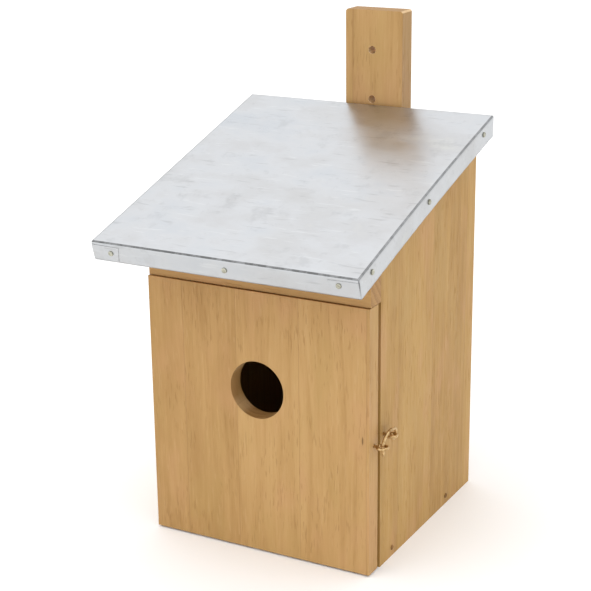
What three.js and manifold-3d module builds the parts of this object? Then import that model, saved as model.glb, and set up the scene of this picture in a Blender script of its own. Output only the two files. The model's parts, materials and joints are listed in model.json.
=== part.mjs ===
// A wooden birdhouse with a folded zinc roof, a side-hung front door and a hook and eye.
//
// Millimetres, +Z up, front towards -Y, right-hand side towards +X.
// Shapes are drawn with the door's front face on Y = 0 and moved at the end, so that the
// origin is the centre of the footprint at ground level.

import * as THREE from "three";
import { mergeVertices } from "three/addons/utils/BufferGeometryUtils.js";
import Module from "manifold-3d";

// ---------------------------------------------------------------- driving dimensions

const BOARD = 10; // thickness of the boards
const JOINT_GAP = 0.2; // between two pieces that rest on each other

const BODY_WIDTH = 132;
const BODY_BACK_Y = 136;
const HALF_BODY = BODY_WIDTH / 2;
const INNER_HALF = HALF_BODY - BOARD;

const DOOR_BOTTOM_Z = 1;
const DOOR_HEIGHT = 147.5;
const DOOR_TOP_Z = DOOR_BOTTOM_Z + DOOR_HEIGHT;
const DOOR_STANDOFF = 3; // room for the folded hinge leaves behind the door
const SIDE_FRONT_Y = BOARD + DOOR_STANDOFF;
const STRIP_CLEARANCE = 0.3; // between the door's top edge and the fixed strip
const STRIP_SETBACK = 1.4; // strip's face behind the door's face

const HOLE_DIAMETER = 32;
const HOLE_Z = 94;

const ROOF_WIDTH = 154.2;
const ROOF_FRONT_Y = -34.8;
const ROOF_FRONT_Z = 175.1;
const ROOF_BACK_Y = 133.3;
const ROOF_SLOPE = THREE.MathUtils.degToRad(16.1);
const SHEET = 0.8; // thickness of the zinc sheet
const FLANGE = 11.1; // width of the folded edge, square to the roof
const HALF_ROOF = ROOF_WIDTH / 2;

const POST_WIDTH = 35.5;
const POST_THICKNESS = 12.5;
const POST_CENTRE_X = 2;
const POST_TOP_Z = 276.5;
const POST_CHAMFER = 1;
const POST_FRONT_Y = BODY_BACK_Y + JOINT_GAP;
const POST_BACK_Y = POST_FRONT_Y + POST_THICKNESS;
const POST_HOLE_DIAMETER = 4.6;
const POST_HOLE_X = 0.8;
const POST_HOLES_Z = [225.7, 254];
const POST_SCREWS_Z = [45, 165];

const HINGES_Z = { lower: 32, upper: 118 };
const LEAF_HEIGHT = 24;
const LEAF_WIDTH = 9;
const LEAF = 0.9; // thickness of a hinge leaf
const LEAF_SEAT = 0.1; // between a leaf and the board it is screwed to
const LEAF_SCREW_SPREAD = 7; // screws above and below the hinge's middle
const LEAF_SCREW_INSET = 4.8; // from the board's outer edge
const KNUCKLE_RADIUS = 2;
const KNUCKLE_GAP = 0.3;
const PIN_RADIUS = 1;
const PIN_CLEARANCE = 0.1;
const PIN_OVERHANG = 0.8;
const HINGE_AXIS_X = -HALF_BODY - 2.2;
const HINGE_AXIS_Y = BOARD + DOOR_STANDOFF / 2;

const WIRE = 0.8; // radius of the wire of the hook and of both eyes
const EYE_RADIUS = 2.7; // of the eye's ring, to the middle of the wire
const EYE_STANDOFF = 4.6; // ring centre to the wood
const EYE_DEPTH = 9; // length of the eye's shank inside the wood
const EYE_X = HALF_BODY + EYE_STANDOFF;
const DOOR_EYE = { y: 5.8, z: 72.8 };
const PIVOT_EYE = { y: 16.8, z: 75.6 };
const PIVOT_Y = PIVOT_EYE.y + EYE_RADIUS; // the hook turns about the ring's rear stretch
const HOOK_RING_RADIUS = 2.7;
const HOOK_ARCH = { y: 12.8, z: 80.4 }; // the point that the arm bows towards
const HOOK_CORNER = { y: 6.2, z: 74.6 }; // where the lines of the arm and the tip cross
const HOOK_END = { y: 7.2, z: 67.4 };
const HOOK_ROUNDING = 0.27; // share of both lines that the bend at the corner takes

const ROOF_NAIL = { head: 1.5, cap: 0.5, shank: 0.6, length: 12 };
const WOOD_NAIL = { head: 1.4, cap: 0.4, shank: 0.7, length: 20 };
const POST_SCREW = { head: 3.4, cone: 2, shank: 1.7, length: 20, recess: true };
const LEAF_SCREW = { head: 1.7, cone: 0.8, shank: 0.9, length: 8, recess: false };
const SCREW_RIM = 0.15; // share of a screw head's cone that is an upright rim
const BORE_CLEARANCE = 0.25; // around a nail or a screw
const HEAD_SEAT = 0.1; // under a nail head
const RECESS = { long: 1.2, narrow: 0.28, deep: 0.45 }; // of a screw's head radius, and of its cone
const OVERRUN = 1; // how far a cutting tool or a joined piece runs past a face
const BORE_END = 0.5; // how far a bore runs past the point of its nail or screw

const FRONT_NAILS_X = [-65.6, 2.2, 65.8];
const SIDE_NAILS_S = [14, 83, 158.5]; // along the slope from the front edge
const REAR_NAILS_X = [-48, 48];
const FRONT_NAIL_DROPS = [6, 6, 4.9];
const REAR_NAIL_DROP = 6;
const SIDE_NAIL_DROP = 4;
const FLOOR_NAILS_Y = [28, 101];
const FLOOR_NAIL_Z = 5;
const BACK_NAILS_X = [-38, 38];
const STRIP_NAIL_Z = 163;

// ---------------------------------------------------------------- materials

const wood = (color) => new THREE.MeshStandardMaterial({ color, roughness: 0.75, metalness: 0 });
const zinc = () => new THREE.MeshStandardMaterial({ color: 0xc9cdd2, roughness: 0.38, metalness: 0.9 });
const brass = () => new THREE.MeshStandardMaterial({ color: 0xb89a5a, roughness: 0.35, metalness: 1 });
const steel = () => new THREE.MeshStandardMaterial({ color: 0xa9aaa6, roughness: 0.35, metalness: 1 });

const HONEY = 0xc49c68;
const HONEY_DARK = 0xb98f5c;

// ---------------------------------------------------------------- solids

const wasm = await Module();
wasm.setup();

function toSolid(geometry) {
  const bare = geometry.clone();
  bare.deleteAttribute("normal");
  bare.deleteAttribute("uv");
  const merged = mergeVertices(bare, 1e-4);
  const mesh = new wasm.Mesh({
    numProp: 3,
    vertProperties: new Float32Array(merged.attributes.position.array),
    triVerts: new Uint32Array(merged.index.array),
  });
  return new wasm.Manifold(mesh);
}

function toGeometry(solid) {
  const { vertProperties, triVerts } = solid.getMesh();
  const geometry = new THREE.BufferGeometry();
  geometry.setAttribute("position", new THREE.BufferAttribute(vertProperties, 3));
  geometry.setIndex(new THREE.BufferAttribute(triVerts, 1));
  geometry.computeVertexNormals();
  return geometry;
}

function cut(geometry, tools) {
  const body = tools.reduce((solid, tool) => solid.subtract(toSolid(tool)), toSolid(geometry));
  return toGeometry(body);
}

function join(geometries) {
  const body = geometries.map(toSolid).reduce((a, b) => a.add(b));
  return toGeometry(body);
}

function block(x0, x1, y0, y1, z0, z1) {
  const geometry = new THREE.BoxGeometry(x1 - x0, y1 - y0, z1 - z0);
  return geometry.translate((x0 + x1) / 2, (y0 + y1) / 2, (z0 + z1) / 2);
}

// An outline of [y, z] points, extruded along X.
function prismAlongX(outline, x0, x1) {
  const shape = new THREE.Shape(outline.map(([y, z]) => new THREE.Vector2(y, z)));
  const geometry = new THREE.ExtrudeGeometry(shape, { depth: x1 - x0, bevelEnabled: false });
  const turn = new THREE.Matrix4().makeBasis(
    new THREE.Vector3(0, 1, 0),
    new THREE.Vector3(0, 0, 1),
    new THREE.Vector3(1, 0, 0),
  );
  return geometry.applyMatrix4(turn).translate(x0, 0, 0);
}

// An outline of [x, z] points, extruded along Y.
function prismAlongY(outline, y0, y1) {
  const shape = new THREE.Shape(outline.map(([x, z]) => new THREE.Vector2(x, z)));
  const geometry = new THREE.ExtrudeGeometry(shape, { depth: y1 - y0, bevelEnabled: false });
  return geometry.rotateX(Math.PI / 2).translate(0, y1, 0);
}

// A rod between two points, wider at its start if startRadius says so.
function rod(start, end, radius, sides = 16, startRadius = radius) {
  const axis = new THREE.Vector3().subVectors(end, start);
  const geometry = new THREE.CylinderGeometry(radius, startRadius, axis.length(), sides);
  const turn = new THREE.Quaternion().setFromUnitVectors(
    new THREE.Vector3(0, 1, 0),
    axis.clone().normalize(),
  );
  const middle = new THREE.Vector3().addVectors(start, end).multiplyScalar(0.5);
  return geometry.applyQuaternion(turn).translate(middle.x, middle.y, middle.z);
}

const at = (x, y, z) => new THREE.Vector3(x, y, z);

// ---------------------------------------------------------------- roof plane

const ALONG_ROOF = at(0, Math.cos(ROOF_SLOPE), Math.sin(ROOF_SLOPE));
const ROOF_NORMAL = at(0, -Math.sin(ROOF_SLOPE), Math.cos(ROOF_SLOPE));

// A point at distance s up the slope from the front fold and height n above the sheet.
function onRoof(x, s, n) {
  return at(x, ROOF_FRONT_Y, ROOF_FRONT_Z)
    .addScaledVector(ALONG_ROOF, s)
    .addScaledVector(ROOF_NORMAL, n);
}

// Height at depth y of the plane that lies below the sheet by the given drop.
function roofHeight(y, drop) {
  return ROOF_FRONT_Z + (y - ROOF_FRONT_Y) * Math.tan(ROOF_SLOPE) - drop / Math.cos(ROOF_SLOPE);
}

// The roof's [y, z] outline: square front edge, upright back edge.
function roofOutline(inset, top, bottom) {
  const backY = ROOF_BACK_Y - inset;
  const front = [bottom, top].map((drop) => {
    const point = onRoof(0, inset, -drop);
    return [point.y, point.z];
  });
  return [front[0], [backY, roofHeight(backY, bottom)], [backY, roofHeight(backY, top)], front[1]];
}

const BOARD_TOP_DROP = SHEET + JOINT_GAP;
const BODY_TOP_DROP = BOARD_TOP_DROP + BOARD + 2 * JOINT_GAP;

// ---------------------------------------------------------------- fasteners

// Each fastener has a name, the point on the surface where its head sits and the way it faces.
const roofNails = [
  ...FRONT_NAILS_X.map((x, i) => ({
    name: `roof_nail_front_${i + 1}`,
    point: onRoof(x, 0, -FRONT_NAIL_DROPS[i]),
    out: ALONG_ROOF.clone().negate(),
  })),
  ...[-1, 1].flatMap((side) => SIDE_NAILS_S.map((s, i) => ({
    name: `roof_nail_${side < 0 ? "left" : "right"}_${i + 1}`,
    point: onRoof(side * HALF_ROOF, s, -SIDE_NAIL_DROP),
    out: at(side, 0, 0),
  }))),
  ...REAR_NAILS_X.map((x, i) => ({
    name: `roof_nail_rear_${i + 1}`,
    point: at(x, ROOF_BACK_Y, roofHeight(ROOF_BACK_Y, REAR_NAIL_DROP)),
    out: at(0, 1, 0),
  })),
];

const floorNails = [-1, 1].flatMap((side) => FLOOR_NAILS_Y.map((y, i) => ({
  name: `floor_nail_${side < 0 ? "left" : "right"}_${i + 1}`,
  point: at(side * HALF_BODY, y, FLOOR_NAIL_Z),
  out: at(side, 0, 0),
})));

const backNails = BACK_NAILS_X.map((x, i) => ({
  name: `back_nail_${i + 1}`,
  point: at(x, BODY_BACK_Y, FLOOR_NAIL_Z),
  out: at(0, 1, 0),
}));

const stripNails = [-1, 1].map((side, i) => ({
  name: `strip_nail_${i + 1}`,
  point: at(side * (HALF_BODY - BOARD / 2), STRIP_SETBACK, STRIP_NAIL_Z),
  out: at(0, -1, 0),
}));

const postScrews = POST_SCREWS_Z.map((z, i) => ({
  name: `post_screw_${i + 1}`,
  point: at(POST_CENTRE_X, POST_BACK_Y, z),
  out: at(0, 1, 0),
}));

const leafScrews = Object.entries(HINGES_Z).flatMap(([place, z]) => (
  ["frame", "door"].flatMap((leaf) => [-1, 1].map((end, i) => ({
    name: `hinge_${place}_${leaf}_screw_${i + 1}`,
    leaf,
    point: leafScrewSeat(leaf, z + end * LEAF_SCREW_SPREAD),
    out: at(0, leaf === "frame" ? -1 : 1, 0),
  })))
));

// The middle of a leaf screw's head, flush with the leaf's free face.
function leafScrewSeat(leaf, z) {
  const x = -HALF_BODY + LEAF_SCREW_INSET;
  const depth = LEAF + LEAF_SEAT;
  return at(x, leaf === "frame" ? SIDE_FRONT_Y - depth : BOARD + depth, z);
}

// A nail: a domed head on the surface, a straight shank and a short point.
function nailGeometry({ head, cap, shank, length }) {
  const profile = [
    [0, -length], [shank, -length + 2 * shank], [shank, 0], [head, 0],
    [head, cap * 0.5], [head * 0.7, cap * 0.9], [0, cap],
  ];
  return new THREE.LatheGeometry(profile.map(([r, y]) => new THREE.Vector2(r, y)), 12);
}

// A countersunk screw: a flat head, a cone and a shank, with a cross recess if it has one.
function screwGeometry({ head, cone, shank, length, recess }) {
  const profile = [
    [0, -length], [shank, -length + 1.5 * shank], [shank, -cone], [head, -SCREW_RIM * cone],
    [head, 0], [0, 0],
  ];
  const sides = recess ? 16 : 12;
  const body = new THREE.LatheGeometry(profile.map(([r, y]) => new THREE.Vector2(r, y)), sides);
  if (!recess) {
    return body;
  }
  const long = RECESS.long * head;
  const narrow = RECESS.narrow * head;
  const deep = RECESS.deep * cone;
  const slots = [
    new THREE.BoxGeometry(long, 2 * deep, narrow),
    new THREE.BoxGeometry(narrow, 2 * deep, long),
  ];
  return cut(body, slots);
}

function placed(mesh, { point, out }, lift) {
  mesh.quaternion.setFromUnitVectors(at(0, 1, 0), out);
  mesh.position.copy(point).addScaledVector(out, lift);
  return mesh;
}

function named(name, geometry, material) {
  const mesh = new THREE.Mesh(geometry, material);
  mesh.name = name;
  return mesh;
}

const nail = (spec, size, material) => (
  placed(named(spec.name, nailGeometry(size), material), spec, HEAD_SEAT)
);
const screw = (spec, size, material) => (
  placed(named(spec.name, screwGeometry(size), material), spec, 0)
);

// The hole that a nail needs, from outside the surface to just past its point.
function nailBore({ point, out }, { shank, length }) {
  const start = point.clone().addScaledVector(out, OVERRUN);
  const end = point.clone().addScaledVector(out, -length - BORE_END);
  return rod(start, end, shank + BORE_CLEARANCE, 12);
}

// The hole that a countersunk screw needs: a bore and a cone for the head.
function screwBore({ point, out }, { head, cone, shank, length }) {
  const along = (distance) => point.clone().addScaledVector(out, distance);
  const wide = head + BORE_CLEARANCE;
  const narrow = shank + BORE_CLEARANCE;
  const rim = along(-SCREW_RIM * cone - BORE_CLEARANCE);
  const bore = rod(along(OVERRUN), along(-length - BORE_END), narrow, 16);
  const sink = rod(along(-cone - BORE_CLEARANCE), rim, wide, 16, narrow);
  const lip = rod(rim, along(OVERRUN), wide, 16);
  return join([bore, sink, lip]);
}

// The hole for an eye's shank, running in along -X from the board's right face.
function eyeBore({ y, z }) {
  const start = at(HALF_BODY + OVERRUN, y, z);
  const end = at(HALF_BODY - EYE_DEPTH - BORE_END, y, z);
  return rod(start, end, WIRE + BORE_CLEARANCE, 12);
}

// ---------------------------------------------------------------- boards

function sideBoard(side) {
  const outline = [
    [SIDE_FRONT_Y, 0], [BODY_BACK_Y, 0],
    [BODY_BACK_Y, roofHeight(BODY_BACK_Y, BODY_TOP_DROP)],
    [SIDE_FRONT_Y, roofHeight(SIDE_FRONT_Y, BODY_TOP_DROP)],
  ];
  const inner = side * INNER_HALF;
  const outer = side * HALF_BODY;
  const board = prismAlongX(outline, Math.min(inner, outer), Math.max(inner, outer));
  const onThisSide = ({ point }) => point.x * side > 0;
  const bores = [
    ...floorNails.filter(onThisSide).map((spec) => nailBore(spec, WOOD_NAIL)),
    ...stripNails.filter(onThisSide).map((spec) => nailBore(spec, WOOD_NAIL)),
  ];
  if (side > 0) {
    bores.push(eyeBore(PIVOT_EYE));
  } else {
    leafScrews.filter(({ leaf }) => leaf === "frame")
      .forEach((spec) => bores.push(nailBore(spec, LEAF_SCREW)));
  }
  return cut(board, bores);
}

function backBoard() {
  const half = INNER_HALF - JOINT_GAP;
  const frontY = BODY_BACK_Y - BOARD;
  const outline = [
    [frontY, 0], [BODY_BACK_Y, 0],
    [BODY_BACK_Y, roofHeight(BODY_BACK_Y, BODY_TOP_DROP)],
    [frontY, roofHeight(frontY, BODY_TOP_DROP)],
  ];
  const bores = [
    ...backNails.map((spec) => nailBore(spec, WOOD_NAIL)),
    ...postScrews.map((spec) => nailBore(spec, POST_SCREW)),
  ];
  return cut(prismAlongX(outline, -half, half), bores);
}

function floorBoard() {
  const half = INNER_HALF - JOINT_GAP;
  const board = block(-half, half, SIDE_FRONT_Y, BODY_BACK_Y - BOARD - JOINT_GAP, 0, BOARD);
  return cut(board, [...floorNails, ...backNails].map((spec) => nailBore(spec, WOOD_NAIL)));
}

function topStrip() {
  const frontY = STRIP_SETBACK;
  const backY = SIDE_FRONT_Y - JOINT_GAP;
  const bottomZ = DOOR_TOP_Z + STRIP_CLEARANCE;
  const outline = [
    [frontY, bottomZ], [backY, bottomZ],
    [backY, roofHeight(backY, BODY_TOP_DROP)], [frontY, roofHeight(frontY, BODY_TOP_DROP)],
  ];
  const board = prismAlongX(outline, -HALF_BODY, HALF_BODY);
  return cut(board, stripNails.map((spec) => nailBore(spec, WOOD_NAIL)));
}

function frontDoor() {
  const board = block(-HALF_BODY, HALF_BODY, 0, BOARD, DOOR_BOTTOM_Z, DOOR_TOP_Z);
  const outside = at(0, -OVERRUN, HOLE_Z);
  const inside = at(0, BOARD + OVERRUN, HOLE_Z);
  const entrance = rod(outside, inside, HOLE_DIAMETER / 2, 64);
  const screwHoles = leafScrews.filter(({ leaf }) => leaf === "door")
    .map((spec) => nailBore(spec, LEAF_SCREW));
  return cut(board, [entrance, eyeBore(DOOR_EYE), ...screwHoles]);
}

function mountingPost() {
  const left = POST_CENTRE_X - POST_WIDTH / 2;
  const right = POST_CENTRE_X + POST_WIDTH / 2;
  const outline = [
    [left, 0], [right, 0],
    [right, POST_TOP_Z - POST_CHAMFER], [right - POST_CHAMFER, POST_TOP_Z],
    [left + POST_CHAMFER, POST_TOP_Z], [left, POST_TOP_Z - POST_CHAMFER],
  ];
  const post = prismAlongY(outline, POST_FRONT_Y, POST_BACK_Y);
  const hangingHoles = POST_HOLES_Z.map((z) => {
    const start = at(POST_HOLE_X, POST_FRONT_Y - OVERRUN, z);
    const end = at(POST_HOLE_X, POST_BACK_Y + OVERRUN, z);
    return rod(start, end, POST_HOLE_DIAMETER / 2, 32);
  });
  return cut(post, [...hangingHoles, ...postScrews.map((spec) => screwBore(spec, POST_SCREW))]);
}

// ---------------------------------------------------------------- roof

function roofBoard() {
  const inset = SHEET + JOINT_GAP;
  const half = HALF_ROOF - inset;
  const outline = roofOutline(inset, BOARD_TOP_DROP, BOARD_TOP_DROP + BOARD);
  const board = prismAlongX(outline, -half, half);
  return cut(board, roofNails.map((spec) => nailBore(spec, ROOF_NAIL)));
}

function roofSheet() {
  const tray = prismAlongX(roofOutline(0, 0, FLANGE), -HALF_ROOF, HALF_ROOF);
  const half = HALF_ROOF - SHEET;
  const hollow = prismAlongX(roofOutline(SHEET, SHEET, FLANGE + OVERRUN), -half, half);
  return cut(tray, [hollow, ...roofNails.map((spec) => nailBore(spec, ROOF_NAIL))]);
}

// ---------------------------------------------------------------- hinges

const onHingeAxis = (z) => at(HINGE_AXIS_X, HINGE_AXIS_Y, z);

// Heights of the three knuckles of a hinge: the frame leaf has the outer two.
function knuckleSpans(centreZ) {
  const third = LEAF_HEIGHT / 3;
  const bottom = centreZ - LEAF_HEIGHT / 2;
  return [0, 1, 2].map((k) => [
    bottom + k * third + (k > 0 ? KNUCKLE_GAP / 2 : 0),
    bottom + (k + 1) * third - (k < 2 ? KNUCKLE_GAP / 2 : 0),
  ]);
}

function hingeLeaf(leaf, centreZ) {
  const seat = leaf === "frame" ? SIDE_FRONT_Y - LEAF_SEAT : BOARD + LEAF_SEAT;
  const free = leaf === "frame" ? seat - LEAF : seat + LEAF;
  const y0 = Math.min(seat, free);
  const y1 = Math.max(seat, free);
  const spans = knuckleSpans(centreZ).filter((span, k) => (leaf === "frame") === (k !== 1));
  const bottom = centreZ - LEAF_HEIGHT / 2;
  const top = centreZ + LEAF_HEIGHT / 2;
  const pieces = [block(-HALF_BODY, -HALF_BODY + LEAF_WIDTH, y0, y1, bottom, top)];
  spans.forEach(([z0, z1]) => {
    pieces.push(block(HINGE_AXIS_X, -HALF_BODY + OVERRUN, y0, y1, z0, z1));
    pieces.push(rod(onHingeAxis(z0), onHingeAxis(z1), KNUCKLE_RADIUS, 24));
  });
  const boreRadius = PIN_RADIUS + PIN_CLEARANCE;
  const bore = rod(onHingeAxis(bottom - OVERRUN), onHingeAxis(top + OVERRUN), boreRadius, 24);
  const holes = leafScrews
    .filter((spec) => spec.leaf === leaf && Math.abs(spec.point.z - centreZ) < LEAF_HEIGHT / 2)
    .map((spec) => screwBore(spec, LEAF_SCREW));
  return cut(join(pieces), [bore, ...holes]);
}

function hingePin(centreZ) {
  const half = LEAF_HEIGHT / 2 + PIN_OVERHANG;
  return rod(onHingeAxis(centreZ - half), onHingeAxis(centreZ + half), PIN_RADIUS, 24);
}

// ---------------------------------------------------------------- hook and eyes

// A screw eye: a level ring of wire on a shank that runs into the wood.
function screwEye({ y, z }) {
  const ring = new THREE.TorusGeometry(EYE_RADIUS, WIRE, 10, 24).translate(EYE_X, y, z);
  const shank = rod(at(EYE_X - EYE_RADIUS, y, z), at(HALF_BODY - EYE_DEPTH, y, z), WIRE, 10);
  return join([ring, shank]);
}

// The hook: an upright ring around the pivot eye's wire, a bowed arm and a tip bent down.
function latchHook() {
  const ring = new THREE.TorusGeometry(HOOK_RING_RADIUS, WIRE, 10, 18)
    .rotateY(Math.PI / 2)
    .translate(EYE_X, PIVOT_Y, PIVOT_EYE.z);
  const ringTop = at(EYE_X, PIVOT_Y, PIVOT_EYE.z + HOOK_RING_RADIUS);
  const arch = at(EYE_X, HOOK_ARCH.y, HOOK_ARCH.z);
  const corner = at(EYE_X, HOOK_CORNER.y, HOOK_CORNER.z);
  const end = at(EYE_X, HOOK_END.y, HOOK_END.z);
  const bendStart = corner.clone().lerp(arch, HOOK_ROUNDING);
  const bendEnd = corner.clone().lerp(end, HOOK_ROUNDING);
  const line = new THREE.CurvePath();
  line.add(new THREE.QuadraticBezierCurve3(ringTop, arch, bendStart));
  line.add(new THREE.QuadraticBezierCurve3(bendStart, corner, bendEnd));
  line.add(new THREE.LineCurve3(bendEnd, end));
  const section = new THREE.Shape().absarc(0, 0, WIRE, 0, 2 * Math.PI, false);
  const arm = new THREE.ExtrudeGeometry(section, { steps: 28, curveSegments: 10, extrudePath: line });
  return join([ring, arm]);
}

// ---------------------------------------------------------------- assembly

const body = new THREE.Group();
body.add(
  named("left_side", sideBoard(-1), wood(HONEY)),
  named("right_side", sideBoard(1), wood(HONEY)),
  named("back_panel", backBoard(), wood(HONEY_DARK)),
  named("floor_board", floorBoard(), wood(HONEY_DARK)),
  named("front_top_strip", topStrip(), wood(HONEY)),
  named("mounting_post", mountingPost(), wood(HONEY)),
  named("hook_pivot_eye", screwEye(PIVOT_EYE), brass()),
);
floorNails.concat(backNails, stripNails).forEach((spec) => body.add(nail(spec, WOOD_NAIL, steel())));
postScrews.forEach((spec) => body.add(screw(spec, POST_SCREW, steel())));

const roof = new THREE.Group();
roof.add(
  named("roof_board", roofBoard(), wood(HONEY_DARK)),
  named("roof_sheet", roofSheet(), zinc()),
);
roofNails.forEach((spec) => roof.add(nail(spec, ROOF_NAIL, brass())));

const door = new THREE.Group();
door.add(
  named("front_door", frontDoor(), wood(HONEY)),
  named("door_eye", screwEye(DOOR_EYE), brass()),
);

const hinges = new THREE.Group();
Object.entries(HINGES_Z).forEach(([place, z]) => {
  hinges.add(
    named(`hinge_${place}_frame_leaf`, hingeLeaf("frame", z), brass()),
    named(`hinge_${place}_door_leaf`, hingeLeaf("door", z), brass()),
    named(`hinge_${place}_pin`, hingePin(z), steel()),
  );
});
leafScrews.forEach((spec) => hinges.add(screw(spec, LEAF_SCREW, brass())));

const birdhouse = new THREE.Group();
birdhouse.add(body, roof, door, hinges, named("latch_hook", latchHook(), brass()));
birdhouse.position.y = -(ROOF_FRONT_Y + POST_BACK_Y) / 2;

export default birdhouse;
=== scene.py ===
"""A wooden birdhouse with a folded zinc roof, a side-hung front door and a hook and eye."""

import json
import math
import random

import bmesh
import bpy
from mathutils import Matrix, Vector

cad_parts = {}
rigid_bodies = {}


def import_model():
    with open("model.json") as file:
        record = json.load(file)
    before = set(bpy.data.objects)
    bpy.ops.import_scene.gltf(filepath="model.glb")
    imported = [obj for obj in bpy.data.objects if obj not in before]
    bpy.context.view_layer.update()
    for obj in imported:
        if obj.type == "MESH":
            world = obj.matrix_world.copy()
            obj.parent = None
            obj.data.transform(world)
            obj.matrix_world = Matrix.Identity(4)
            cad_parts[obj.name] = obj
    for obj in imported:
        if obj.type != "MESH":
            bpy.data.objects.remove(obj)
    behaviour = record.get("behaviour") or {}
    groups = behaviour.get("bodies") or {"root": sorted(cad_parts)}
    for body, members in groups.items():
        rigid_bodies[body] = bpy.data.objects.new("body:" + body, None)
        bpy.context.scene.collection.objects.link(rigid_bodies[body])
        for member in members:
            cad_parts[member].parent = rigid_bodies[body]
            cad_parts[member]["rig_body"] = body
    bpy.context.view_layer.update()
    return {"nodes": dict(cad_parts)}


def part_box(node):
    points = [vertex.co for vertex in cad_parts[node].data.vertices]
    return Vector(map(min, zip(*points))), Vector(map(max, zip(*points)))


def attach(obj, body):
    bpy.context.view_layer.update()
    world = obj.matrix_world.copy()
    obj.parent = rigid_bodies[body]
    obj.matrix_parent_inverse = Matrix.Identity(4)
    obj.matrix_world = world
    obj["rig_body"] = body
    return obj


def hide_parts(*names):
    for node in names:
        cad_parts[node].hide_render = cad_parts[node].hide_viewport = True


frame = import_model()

nodes = frame["nodes"]
MM = 0.001

# ------------------------------------------------------------------ driving dimensions

ROOF_SLOPE = math.radians(16.1)
SHEET = 0.8 * MM  # thickness of the zinc
FLANGE = 11.1 * MM  # width of the folded edge
FOLD_RADIUS = 1.3 * MM
CORNER_RADIUS = 1.0 * MM  # of the roof's upright corners, in plan
CROWN = 1.3 * MM  # how far the sheet's right-hand side bows up at mid-length
LAP_LENGTH = 17 * MM  # of the corner tabs folded onto the front flange
LAP_THICKNESS = 0.22 * MM

WIRE = 0.8 * MM  # radius of the wire of the hook and eyes
EYE_RADIUS = 2.7 * MM
HOOK_RING_RADIUS = 2.7 * MM
HOOK_ARCH = Vector((0, -6.7, 4.8)) * MM  # the point that the arm bows towards, from the pivot
HOOK_CORNER = Vector((0, -13.3, -1.0)) * MM  # where the lines of the arm and the tip cross
HOOK_END = Vector((0, -12.3, -8.2)) * MM
TIP_SHORT = 0.05 * MM  # how far the tip stops short of HOOK_END
HOOK_ROUNDING = 0.27  # share of both lines that the bend at the corner takes

LEAF = 0.9 * MM  # thickness of a hinge leaf
PIN_RADIUS = 1 * MM
KNUCKLE_RADIUS = 2 * MM
HINGE_SCREW_PROUD = 0.2 * MM
LEAF_SEAT = 0.1 * MM  # between a leaf and its board
HALF_LEAF_HEIGHT = 12 * MM
LEAF_CORNER = 1.6 * MM
KNUCKLE_GAP = 0.15 * MM

# head and shank are radii
ROOF_NAIL = {"head": 1.5 * MM, "cap": 0.5 * MM, "shank": 0.6 * MM, "length": 12 * MM}
BOARD_NAIL = {"head": 1.4 * MM, "cap": 0.4 * MM, "shank": 0.7 * MM, "length": 20 * MM}
POST_SCREW = {"head": 3.4 * MM, "cone": 2 * MM, "shank": 1.7 * MM, "length": 20 * MM}
HINGE_SCREW = {"head": 1.7 * MM, "cone": 0.8 * MM, "shank": 0.9 * MM, "length": 8 * MM}

ARRIS = 0.3 * MM  # rounding of the boards' edges
POST_ARRIS = 0.7 * MM
POST_HOLES = ((0.8 * MM, 225.7 * MM), (0.8 * MM, 254 * MM))  # x and z of the hanging holes
POST_HOLE_RADIUS = 2.3 * MM

X = Vector((1, 0, 0))
Y = Vector((0, 1, 0))
Z = Vector((0, 0, 1))
ALONG_ROOF = Vector((0, math.cos(ROOF_SLOPE), math.sin(ROOF_SLOPE)))
ROOF_NORMAL = Vector((0, -math.sin(ROOF_SLOPE), math.cos(ROOF_SLOPE)))


def middle(node):
    low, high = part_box(node)
    return (low + high) / 2


# ------------------------------------------------------------------ shader building


def srgb(red, green, blue):
    """A colour given in 0-255 display values, as linear RGBA."""
    def linear(value):
        value /= 255
        return value / 12.92 if value <= 0.04045 else ((value + 0.055) / 1.055) ** 2.4

    return (linear(red), linear(green), linear(blue), 1.0)


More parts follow.
